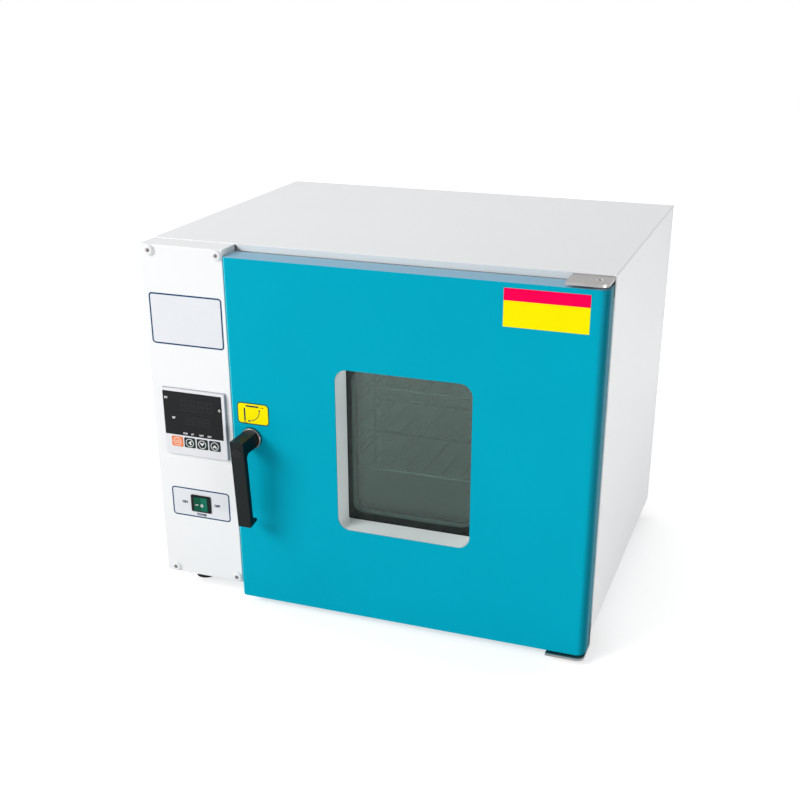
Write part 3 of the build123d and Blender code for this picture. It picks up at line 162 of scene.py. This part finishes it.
finishes = {
    "white_coat": material(
        "white_coat", (0.86, 0.87, 0.875), 0.34, vary=0.010, vary_scale=9.0,
        bump=(900.0, 0.10, 0.0002),
        specular=0.35, coat=0.08
    ),
    # Painted light: a paler copy of white_coat that brightens the frame strip above the door.
    "frame_coat_painted_light": material(
        "frame_coat_painted_light", (0.965, 0.962, 0.955), 0.34, vary=0.010, vary_scale=9.0,
        bump=(900.0, 0.10, 0.0002),
        specular=0.35, coat=0.08
    ),
    "teal_coat": material(
        "teal_coat", (0.000, 0.385, 0.535), 0.40, vary=0.02, vary_scale=8.0,
        bump=(1100.0, 0.12, 0.0002),
        specular=0.03,
        # Painted light: a pale cyan painted highlight on the left bend that fades back to teal on the flat left
        # side, painted shade on the right bend, and a paler grey-blue painted reflection on the top.
        painted_light_by_facing=(
            ("X", -0.05, -0.50, (0.10, 0.80, 0.92), 0.9), ("X", -0.60, -0.90, (0.0, 0.385, 0.535), 1.0),
            ("X", 0.25, 0.75, (0.0, 0.13, 0.18), 0.8), ("Z", 0.40, 0.90, (0.36, 0.52, 0.66), 0.8),
        )
    ),
    "galvanised": material(
        "galvanised", (0.58, 0.60, 0.62), 0.42, metal=1.0, vary=0.16, vary_scale=90.0,
        bump=(220.0, 0.08, 0.0003)
    ),
    "stainless": material(
        "stainless", (0.66, 0.66, 0.65), 0.30, metal=1.0, vary=0.10, vary_scale=60.0,
        streak=(1.0, 1.0, 18.0), bump=(500.0, 0.10, 0.0002)
    ),
    "leaf_steel": material(
        "leaf_steel", (0.30, 0.293, 0.288), 0.34, metal=1.0, vary=0.12, vary_scale=60.0,
        streak=(1.0, 16.0, 1.0), bump=(420.0, 0.12, 0.0002)
    ),
    "screw_dark": material(
        "screw_dark", (0.16, 0.155, 0.15), 0.26, metal=1.0, vary=0.20, vary_scale=400.0,
        wear=(0.45, 0.45, 0.44)
    ),
    "pin_bright": material(
        "pin_bright", (0.86, 0.86, 0.86), 0.08, metal=1.0, vary=0.05, vary_scale=200.0
    ),
    "screw_steel": material(
        "screw_steel", (0.68, 0.68, 0.67), 0.24, metal=1.0, vary=0.10, vary_scale=300.0,
        wear=(0.85, 0.85, 0.84)
    ),
    "chrome": material(
        "chrome", (0.62, 0.62, 0.63), 0.16, metal=1.0, vary=0.08, vary_scale=80.0, rough_vary=0.05
    ),
    "rose_chrome": material(
        "rose_chrome", (0.17, 0.17, 0.165), 0.26, metal=1.0, vary=0.16, vary_scale=60.0,
        bump=(300.0, 0.10, 0.0002)
    ),
    "black_plastic": material(
        "black_plastic", (0.006, 0.006, 0.007), 0.46, vary=0.20, vary_scale=120.0,
        bump=(1500.0, 0.15, 0.0002),
        specular=0.14
    ),
    "black_rubber": material(
        "black_rubber", (0.009, 0.009, 0.009), 0.72, vary=0.25, vary_scale=90.0,
        bump=(900.0, 0.25, 0.0003),
        specular=0.16
    ),
    "white_plastic": material(
        "white_plastic", (0.84, 0.84, 0.85), 0.36, vary=0.012, vary_scale=40.0,
        bump=(1600.0, 0.10, 0.0001),
        specular=0.4
    ),
    "reveal_plastic": material(
        "reveal_plastic", (0.93, 0.99, 0.98), 0.30, vary=0.012, vary_scale=30.0,
        bump=(1200.0, 0.05, 0.0002),
        coat=0.8
    ),
    "display_black": material(
        "display_black", (0.006, 0.008, 0.009), 0.14, vary=0.15, vary_scale=40.0,
        rough_vary=0.04, specular=0.12
    ),
    "mineral_wool": material(
        "mineral_wool", (0.62, 0.54, 0.33), 0.95, vary=0.25, vary_scale=160.0,
        bump=(400.0, 0.8, 0.002)
    ),
    "motor_grey": material(
        "motor_grey", (0.20, 0.21, 0.22), 0.45, vary=0.08, vary_scale=60.0,
        bump=(700.0, 0.15, 0.0003)
    ),
    "heater_steel": material(
        "heater_steel", (0.26, 0.22, 0.19), 0.40, metal=1.0, vary=0.30, vary_scale=40.0
    ),
    "bright_wire": material(
        "bright_wire", (0.36, 0.36, 0.35), 0.35, metal=1.0, vary=0.10, vary_scale=150.0
    ),
    "spacer_alloy": material(
        "spacer_alloy", (0.30, 0.36, 0.35), 0.55, vary=0.10, vary_scale=120.0,
        bump=(800.0, 0.1, 0.0002),
        specular=0.3
    ),
    "window_glass": glass("window_glass", (0.52, 0.62, 0.58)),
    "gasket_silicone": material(
        "gasket_silicone", (0.42, 0.06, 0.035), 0.62, vary=0.10, vary_scale=60.0,
        bump=(600.0, 0.2, 0.0003)
    ),
    "black_lever": material(
        "black_lever", (0.005, 0.008, 0.0085), 0.36, vary=0.15, vary_scale=80.0,
        bump=(1300.0, 0.10, 0.0002),
        # Painted shade: faces turned towards +X go near black.
        specular=0.14, painted_light_by_facing=(("X", 0.3, 0.8, (0.0004, 0.0006, 0.0006), 1.0),)
    ),
    "plug_black": material(
        "plug_black", (0.0015, 0.002, 0.002), 0.20, vary=0.15, vary_scale=120.0, specular=0.22
    ),
    "green_rocker": material(
        "green_rocker", (0.000, 0.165, 0.105), 0.26, vary=0.08, vary_scale=90.0, specular=0.14,
        # Painted shade: the half of the rocker tilted towards +X goes darker green.
        painted_light_by_facing=(("X", -0.02, 0.08, (0.000, 0.090, 0.045), 1.0),)
    ),
    "orange_key": material(
        "orange_key", (0.90, 0.22, 0.055), 0.40, vary=0.05, vary_scale=120.0,
        bump=(1500.0, 0.1, 0.0001),
        specular=0.25
    ),
    "dark_key": material(
        "dark_key", (0.006, 0.016, 0.017), 0.42, vary=0.10, vary_scale=120.0,
        bump=(1500.0, 0.1, 0.0001),
        specular=0.18
    ),
    "plate_field": material(
        "plate_field", (0.76, 0.775, 0.805), 0.36, vary=0.012, vary_scale=25.0,
        bump=(1800.0, 0.06, 0.0001),
        specular=0.35
    ),
    "bezel_white": material(
        "bezel_white", (0.77, 0.77, 0.80), 0.38, vary=0.012, vary_scale=60.0,
        bump=(1600.0, 0.10, 0.0001),
        # Painted shade: the side walls facing +X darken to blue-grey.
        specular=0.35, painted_light_by_facing=(("X", 0.60, 0.85, (0.26, 0.31, 0.37), 1.0),)
    ),
    "plate_outline": material(
        "plate_outline", (0.002, 0.052, 0.140), 0.42, vary=0.10, vary_scale=90.0, specular=0.12
    ),
    "ink_dark": material(
        "ink_dark", (0.006, 0.022, 0.060), 0.45, vary=0.15, vary_scale=200.0, specular=0.12
    ),
    "ink_brown": material(
        "ink_brown", (0.30, 0.20, 0.01), 0.45, vary=0.15, vary_scale=200.0, specular=0.12
    ),
    "ink_white": material("ink_white", (0.78, 0.79, 0.79), 0.45, vary=0.03, vary_scale=200.0),
    # Painted shade: grey for the ring that stands for the shadow line round the bezel.
    "gap_shade_grey": material(
        "gap_shade_grey", (0.34, 0.35, 0.38), 0.6, vary=0.08, vary_scale=150.0,
        bump=(1200.0, 0.15, 0.0001), specular=0.2
    ),
    "label_yellow": material(
        "label_yellow", (1.00, 0.86, 0.000), 0.38, vary=0.012, vary_scale=30.0,
        bump=(1500.0, 0.05, 0.0001),
        specular=0.04
    ),
    "unlit": material(
        "unlit", (0.012, 0.013, 0.014), 0.25, vary=0.10, vary_scale=200.0, specular=0.22
    ),
    "label_magenta": material(
        "label_magenta", (1.00, 0.000, 0.085), 0.38, vary=0.02, vary_scale=30.0,
        bump=(1500.0, 0.05, 0.0001),
        specular=0.04
    ),
}

own_finish = {
    "front_frame": "frame_coat_painted_light",
    "handle_rose": "rose_chrome",
    "glass_spacer": "spacer_alloy",
    "controller_bezel": "bezel_white",
    "hinge_pin_top": "pin_bright",
    "hinge_pin_bottom": "pin_bright",
    "panel_screws": "screw_dark",
    "handle_plug": "plug_black",
}
slots = {s["node"]: s["material_slot"] for s in frame["record"]["subparts"]}
for node, obj in nodes.items():
    finish = slots[node]
    if node.startswith("hinge_bracket"):
        finish = "leaf_steel"
    finish = own_finish.get(node, finish)
    obj.data.materials.clear()
    obj.data.materials.append(finishes[finish])


# Flat pieces on upright faces
def rounded(x0, x1, z0, z1, r, steps=8):
    """Outline of a rounded rectangle, counter-clockwise seen from the front."""
    points = []
    corners = ((x1 - r, z0 + r, -90), (x1 - r, z1 - r, 0), (x0 + r, z1 - r, 90), (x0 + r, z0 + r, 180))
    for cx, cz, start in corners:
        for i in range(steps + 1):
            a = radians(start + 90.0 * i / steps)
            points.append((cx + r * cos(a), cz + r * sin(a)))
    return points


def add(name, bm, body, finish):
    """Make the piece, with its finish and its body."""
    bmesh.ops.recalc_face_normals(bm, faces=bm.faces)
    mesh = bpy.data.meshes.new(name)
    bm.to_mesh(mesh)
    bm.free()
    obj = bpy.data.objects.new(name, mesh)
    bpy.context.scene.collection.objects.link(obj)
    mesh.materials.append(finishes[finish])
    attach(obj, body)
    return obj


def prism(bm, outline, y, depth, holes=()):
    """Solid of an outline in x and z between y and y - depth, with at most one hole of as many points."""
    front = [bm.verts.new((x, y - depth, z)) for x, z in outline]
    back = [bm.verts.new((x, y, z)) for x, z in outline]
    n = len(outline)
    for i in range(n):
        j = (i + 1) % n
        bm.faces.new((front[i], front[j], back[j], back[i]))
    if not holes:
        bm.faces.new(front)
        bm.faces.new(back)
        return
    inner_front = [bm.verts.new((x, y - depth, z)) for x, z in holes]
    inner_back = [bm.verts.new((x, y, z)) for x, z in holes]
    for i in range(n):
        j = (i + 1) % n
        bm.faces.new((front[i], front[j], inner_front[j], inner_front[i]))
        bm.faces.new((back[i], back[j], inner_back[j], inner_back[i]))
        bm.faces.new((inner_front[i], inner_front[j], inner_back[j], inner_back[i]))


def plate(name, box, r, y, depth, body, finish):
    """Plate with rounded corners whose back lies at y."""
    bm = bmesh.new()
    prism(bm, rounded(*box, r), y, depth)
    return add(name, bm, body, finish)


def ring(name, box, r, width, y, depth, body, finish):
    """Closed border of a rounded rectangle, width wide, whose back lies at y."""
    x0, x1, z0, z1 = box
    bm = bmesh.new()
    inner = rounded(x0 + width, x1 - width, z0 + width, z1 - width, max(r - width, 0.0002))
    prism(bm, rounded(x0, x1, z0, z1, r), y, depth, inner)
    return add(name, bm, body, finish)


def circle(cx, cz, r, steps=40):
    return [(cx + r * cos(2 * pi * i / steps), cz + r * sin(2 * pi * i / steps)) for i in range(steps)]


def lettering(name, words, cx, cz, height, y, depth, body, finish, spacing=1.0, bold=0.08):
    """Upright lettering with its middle at cx, cz, as a thin solid."""
    curve = bpy.data.curves.new(name, "FONT")
    curve.body = words
    curve.size = height / 0.70
    curve.space_character = spacing
    curve.extrude = depth / 2
    curve.offset = bold * height
    curve.align_x = "CENTER"
    holder = bpy.data.objects.new(name + "_text", curve)
    bpy.context.scene.collection.objects.link(holder)
    bpy.context.view_layer.update()
    mesh = bpy.data.meshes.new_from_object(holder.evaluated_get(bpy.context.evaluated_depsgraph_get()))
    bpy.data.objects.remove(holder)
    bm = bmesh.new()
    bm.from_mesh(mesh)
    zs = [v.co.y for v in bm.verts]
    middle = (min(zs) + max(zs)) / 2
    for v in bm.verts:
        v.co = Vector((cx + v.co.x, y - depth / 2 - v.co.z, cz + v.co.y - middle))
    return add(name, bm, body, finish)


# Blank name plate on the control column
name_box = (-302.6 * MM, -194.4 * MM, 379.0 * MM, 449.0 * MM)
plate_corner = 5 * MM
outline_depth = 0.06 * MM
plate_front = panel_y - sheet
plate("name_plate", name_box, plate_corner, panel_y, sheet, "cabinet", "plate_field")
ring(
    "name_plate_outline", name_box, plate_corner, 2.1 * MM, plate_front, outline_depth,
    "cabinet", "plate_outline",
)

# Switch plate with ON, OFF and POWER round the mains switch
switch_box = (-293.0 * MM, -202.0 * MM, 125.3 * MM, 169.4 * MM)
hole_x0, hole_x1 = -263.2 * MM, -231.4 * MM
hole_z0, hole_z1 = 134.2 * MM, 160.4 * MM
bm = bmesh.new()
prism(
    bm, rounded(*switch_box, plate_corner), panel_y, sheet,
    rounded(hole_x0, hole_x1, hole_z0, hole_z1, 1.6 * MM),
)
add("switch_plate", bm, "cabinet", "plate_field")
ring(
    "switch_plate_outline", switch_box, plate_corner, 1.9 * MM, plate_front, outline_depth,
    "cabinet", "plate_outline",
)
for words, x, z, height in (("ON", -273.2, 147.2, 3.6), ("OFF", -222.0, 147.6, 3.6), ("POWER", -247.3, 130.3, 3.1)):
    lettering(
        "switch_" + words.lower(), words, x * MM, z * MM, height * MM, plate_front, print_depth,
        "cabinet", "ink_dark",
    )

# Marks on the rocker, on its two tilted faces
tilt = radians(8.0)
rocker_at = Vector((-247.3 * MM, -227.0 * MM, 147.3 * MM))
rocker_half, rocker_high, rocker_dip = 9.9 * MM, 5.6 * MM, 1.3 * MM
mark_depth = 0.12 * MM


def on_rocker(points):
    """Front and back corners of a mark on the rocker, from points along the rocker and up."""
    bm = bmesh.new()
    fronts, backs = [], []
    for u, w in points:
        slope = rocker_high - rocker_dip * (1 - abs(u) / rocker_half)
        for out, shift in ((fronts, mark_depth), (backs, 0.0)):
            v = -(slope + shift)
            x = rocker_at.x + u * cos(tilt) - v * sin(tilt)
            y = rocker_at.y + u * sin(tilt) + v * cos(tilt)
            out.append(bm.verts.new((x, y, rocker_at.z + w)))
    return bm, fronts, backs


def rocker_bar():
    corners = ((-7.5, -1.3), (-3.9, -1.3), (-3.9, 0.0), (-7.5, 0.0))
    bm, f, b = on_rocker([(u * MM, w * MM) for u, w in corners])
    bm.faces.new(f)
    bm.faces.new(b)
    for i in range(4):
        j = (i + 1) % 4
        bm.faces.new((f[i], f[j], b[j], b[i]))
    return bm


def rocker_ring():
    n = 28
    outer = [(1.5 * MM + x, z - 1.6 * MM) for x, z in circle(0, 0, 2.2 * MM, n)]
    inner = [(1.5 * MM + x, z - 1.6 * MM) for x, z in circle(0, 0, 1.1 * MM, n)]
    bm, f, b = on_rocker(outer + inner)
    for i in range(n):
        j = (i + 1) % n
        bm.faces.new((f[i], f[j], f[n + j], f[n + i]))
        bm.faces.new((b[i], b[j], b[n + j], b[n + i]))
        bm.faces.new((f[i], f[j], b[j], b[i]))
        bm.faces.new((f[n + i], f[n + j], b[n + j], b[n + i]))
    return bm


add("rocker_mark_on", rocker_bar(), "switch", "ink_white")
add("rocker_mark_off", rocker_ring(), "switch", "ink_white")

# Symbols on the controller keys
chevron = ((-3.4, -1.9), (-1.9, -3.2), (0.0, -1.1), (1.9, -3.2), (3.4, -1.9), (0.0, 2.2))
key_turns = {"key_shift": 90.0, "key_down": 180.0, "key_up": 0.0}
key_print = 0.1 * MM
for node in ("key_set", "key_shift", "key_down", "key_up"):
    body = node.replace("key", "button")
    lo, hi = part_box(node)
    cx, cz, y = (lo[0] + hi[0]) / 2, (lo[2] + hi[2]) / 2, lo[1]
    bm = bmesh.new()
    prism(bm, circle(cx, cz, 6.1 * MM), y, key_print, circle(cx, cz, 5.2 * MM))
    add(node + "_ring", bm, body, "ink_white")
    bm = bmesh.new()
    if node == "key_set":
        outer = rounded(cx - 3.0 * MM, cx + 3.0 * MM, cz - 2.0 * MM, cz + 2.0 * MM, 0.9 * MM)
        inner = rounded(cx - 2.2 * MM, cx + 2.2 * MM, cz - 1.2 * MM, cz + 1.2 * MM, 0.3 * MM)
        prism(bm, outer, y, key_print, inner)
    else:
        turn = radians(key_turns[node])
        corners = [
            (cx + (px * cos(turn) - pz * sin(turn)) * MM, cz + (px * sin(turn) + pz * cos(turn)) * MM)
            for px, pz in chevron
        ]
        prism(bm, corners, y, key_print)
    add(node + "_symbol", bm, body, "ink_white")

# Grey ring behind the bezel's edge: painted shade, standing for the shadow line in the gap between the bezel and
# the column
lo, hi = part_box("controller_bezel")
grow = 0.55 * MM
ring(
    "bezel_gap_shade", (lo[0] - grow, hi[0] + grow, lo[2] - grow, hi[2] + grow), 1.5 * MM, 3.0 * MM,
    panel_y, 0.7 * MM,
    "cabinet", "gap_shade_grey",
)

# Display: unlit digits and the controller's usual short words
lo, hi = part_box("display_window")
display_y = lo[1]
segments = (  # across, up and whether it lies level, in half widths and half heights of a digit
    (0.0, 1.0, True), (1.0, 0.5, False), (1.0, -0.5, False), (0.0, -1.0, True),
    (-1.0, -0.5, False), (-1.0, 0.5, False), (0.0, 0.0, True),
)
stroke = 0.45 * MM
stroke_gap = 0.5 * MM


def digits(name, cx, cz, count, width, height, pitch):
    bm = bmesh.new()
    for i in range(count):
        x = cx + (i - (count - 1) / 2) * pitch
        for sx, sz, level in segments:
            px, pz = x + sx * width / 2, cz + sz * height / 2
            if level:
                half_x, half_z = width / 2 - stroke_gap, stroke
            else:
                half_x, half_z = stroke, height / 4 - stroke_gap
            corners = ((-1, -1), (1, -1), (1, 1), (-1, 1))
            prism(bm, [(px + a * half_x, pz + b * half_z) for a, b in corners], display_y, ink_depth)
    return add(name, bm, "cabinet", "unlit")


display_cx = (lo[0] + hi[0]) / 2
display_cz = (lo[2] + hi[2]) / 2
digits("display_digits_upper", display_cx + 6 * MM, display_cz + 13 * MM, 4, 8 * MM, 15 * MM, 13 * MM)
digits("display_digits_lower", display_cx + 6 * MM, display_cz - 9 * MM, 4, 6 * MM, 11 * MM, 10 * MM)
display_words = (
    ("PV", -40.2, 21.5, 3.0), ("SV", -30.3, -6.7, 2.8), ("C", 41.0, 11.6, 3.0),
    ("RUN", -13.9, -28.3, 2.1), ("AT", -2.9, -28.3, 2.1),
    ("OUT", 10.8, -28.3, 2.1), ("ALM", 23.2, -28.3, 2.1),
)
for words, dx, dz, height in display_words:
    lettering(
        "display_" + words.lower(), words, display_cx + dx * MM, display_cz + dz * MM, height * MM,
        display_y, 0.06 * MM, "cabinet", "ink_white", 1.05,
    )

# Handle label: yellow field, the lever's two positions and the quarter turn between them
label_box = (-180.3 * MM, -133.5 * MM, 279.6 * MM, 310.0 * MM)
label_front = door_y - film
plate("handle_label", label_box, 5.5 * MM, door_y, film, "door", "ink_dark")
rim = 1.3 * MM
inner_label = (label_box[0] + rim, label_box[1] - rim, label_box[2] + rim, label_box[3] - rim)
plate(
    "handle_label_field", inner_label, 4.4 * MM, label_front, ink_depth, "door", "label_yellow"
)
ink_y = label_front - ink_depth


def on_label(across, down):
    """Place on the label, in millimetres from its top left corner."""
    return label_box[0] + across * MM, label_box[3] - down * MM


bm = bmesh.new()
for first, last, low, high in ((9.8, 12.0, 26.3, 7.8), (12.9, 32.0, 5.8, 3.6)):
    x0, z0 = on_label(first, low)
    x1, z1 = on_label(last, high)
    prism(bm, rounded(x0, x1, z0, z1, 0.4 * MM), ink_y, ink_depth)
turn_x, turn_z = on_label(16.8, 9.8)
arc_r, arc_half = 16.1 * MM, 0.5 * MM
arc_steps = 24
sweep = [radians(-90 + 90 * i / arc_steps) for i in range(arc_steps + 1)]


def on_arc(r, a):
    return turn_x + r * cos(a), turn_z + r * sin(a)


outer = [on_arc(arc_r + arc_half, a) for a in sweep]
inner = [on_arc(arc_r - arc_half, a) for a in sweep]
prism(bm, outer + inner[::-1], ink_y, ink_depth)
for a in (sweep[0], sweep[-1]):
    prism(bm, circle(*on_arc(arc_r, a), 1.3 * MM, 20), ink_y, 0.06 * MM)
add("handle_label_arrow", bm, "door", "ink_dark")
for words, across, down in (("OPEN", 37.0, 5.4), ("CLOSE", 10.8, 28.3)):
    x, z = on_label(across, down)
    lettering(
        "handle_label_" + words.lower(), words, x, z, 1.3 * MM, ink_y, ink_depth,
        "door", "ink_brown",
    )

# Plain two-colour sticker at the top right of the door
sticker = (184.4 * MM, 289.3 * MM, 450.3 * MM, 497.8 * MM)
band_z = 482.5 * MM
sticker_corner = 0.6 * MM
band = (sticker[0], sticker[1], band_z, sticker[3])
plate("door_sticker", sticker, sticker_corner, door_y, film, "door", "label_yellow")
plate(
    "door_sticker_band", band, sticker_corner, label_front, 0.04 * MM, "door", "label_magenta"
)

# Black seal around the outer pane
reveal_lo, reveal_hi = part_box("window_reveal")
pane_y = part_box("outer_glass")[0][1]
cx = (reveal_lo[0] + reveal_hi[0]) / 2
cz = (reveal_lo[2] + reveal_hi[2]) / 2
half_w, half_h = 90.0 * MM, 111.0 * MM
seal_box = (cx - half_w, cx + half_w, cz - half_h, cz + half_h)
ring(
    "pane_seal", seal_box, 3.0 * MM, 0.9 * MM, pane_y, 0.8 * MM,
    "door", "black_rubber",
)


# Studio
def seen_rays(tree):
    """1 for rays from the camera and those that metal or glass sends on, 0 for light on surfaces."""
    path = tree.nodes.new("ShaderNodeLightPath")
    first = tree.nodes.new("ShaderNodeMath")
    first.operation = "MAXIMUM"
    second = tree.nodes.new("ShaderNodeMath")
    second.operation = "MAXIMUM"
    wire(tree, path.outputs["Is Camera Ray"], first.inputs[0])
    wire(tree, path.outputs["Is Glossy Ray"], first.inputs[1])
    wire(tree, first.outputs[0], second.inputs[0])
    wire(tree, path.outputs["Is Transmission Ray"], second.inputs[1])
    return second.outputs[0]


def studio_material(name, color, near_glow, far_glow):
    """Pale floor that grows white with its distance from the object."""
    mat = bpy.data.materials.new(name)
    mat.use_nodes = True
    tree = mat.node_tree
    shader = tree.nodes["Principled BSDF"]
    shader.inputs["Base Color"].default_value = (*color, 1.0)
    shader.inputs["Roughness"].default_value = 0.9
    shader.inputs["Specular IOR Level"].default_value = 0.1
    place = tree.nodes.new("ShaderNodeTexCoord")
    away = tree.nodes.new("ShaderNodeVectorMath")
    away.operation = "LENGTH"
    wire(tree, place.outputs["Object"], away.inputs[0])
    glow = tree.nodes.new("ShaderNodeMapRange")
    glow.inputs["From Min"].default_value = 0.35
    glow.inputs["From Max"].default_value = 1.1
    glow.inputs["To Min"].default_value = near_glow
    glow.inputs["To Max"].default_value = far_glow
    wire(tree, away.outputs["Value"], glow.inputs["Value"])
    gain = tree.nodes.new("ShaderNodeMath")
    gain.operation = "MULTIPLY"
    wire(tree, seen_rays(tree), gain.inputs[0])
    wire(tree, glow.outputs["Result"], gain.inputs[1])
    shader.inputs["Emission Color"].default_value = (1.0, 1.0, 1.0, 1.0)
    wire(tree, gain.outputs[0], shader.inputs["Emission Strength"])
    return mat


bm = bmesh.new()
span = 6.0
corners = [bm.verts.new((x * span, y * span, 0.0)) for x, y in ((-1, -1), (1, -1), (1, 1), (-1, 1))]
bm.faces.new(corners)
mesh = bpy.data.meshes.new("floor")
bm.to_mesh(mesh)
bm.free()
floor = bpy.data.objects.new("floor", mesh)
bpy.context.scene.collection.objects.link(floor)
mesh.materials.append(studio_material("floor_pale", (0.80, 0.80, 0.80), 0.55, 1.0))

world = bpy.data.worlds.new("studio")
bpy.context.scene.world = world
world.use_nodes = True
tree = world.node_tree
tree.nodes.clear()
out = tree.nodes.new("ShaderNodeOutputWorld")
soft = tree.nodes.new("ShaderNodeBackground")
soft.inputs["Color"].default_value = (0.97, 0.98, 1.0, 1.0)
soft.inputs["Strength"].default_value = 0.30
clear = tree.nodes.new("ShaderNodeBackground")
clear.inputs["Color"].default_value = (1.0, 1.0, 1.0, 1.0)
clear.inputs["Strength"].default_value = 1.0
choose = tree.nodes.new("ShaderNodeMixShader")
wire(tree, seen_rays(tree), choose.inputs[0])
wire(tree, soft.outputs[0], choose.inputs[1])
wire(tree, clear.outputs[0], choose.inputs[2])
wire(tree, choose.outputs[0], out.inputs[0])


def lamp(name, place, target, size, power):
    data = bpy.data.lights.new(name, "AREA")
    data.shape = "RECTANGLE"
    data.size, data.size_y = size
    data.energy = power
    obj = bpy.data.objects.new(name, data)
    bpy.context.scene.collection.objects.link(obj)
    obj.visible_camera = False
    obj.location = place
    obj.rotation_euler = (Vector(target) - Vector(place)).to_track_quat("-Z", "Y").to_euler()
    return obj


lamp("key", (-1.8, -2.1, 1.7), (0, 0, 0.25), (1.6, 1.2), 60.0)
lamp("side", (0.98, 0.10, 0.05), (0.31, 0.10, 0.10), (1.3, 0.06), 0.8)
lamp("low", (1.5, -1.2, 0.15), (0.1, -0.1, 0.2), (0.9, 0.25), 7.5)
lamp("top", (-0.15, 0.5, 2.3), (0, 0, 0.4), (1.8, 1.4), 12.0)

camera_data = bpy.data.cameras.new("camera")
camera_data.sensor_width = 36.0
camera_data.lens = 53.57
camera_data.shift_x = -0.00955
camera_data.shift_y = 0.1107
camera_data.clip_start = 0.05
camera = bpy.data.objects.new("camera", camera_data)
camera.location = (0.54479, -1.56854, 0.85717)
camera.rotation_euler = (radians(90.0 - 24.168), radians(0.0), radians(19.777))
bpy.context.scene.collection.objects.link(camera)
bpy.context.scene.camera = camera

bpy.context.scene.view_settings.view_transform = "Standard"
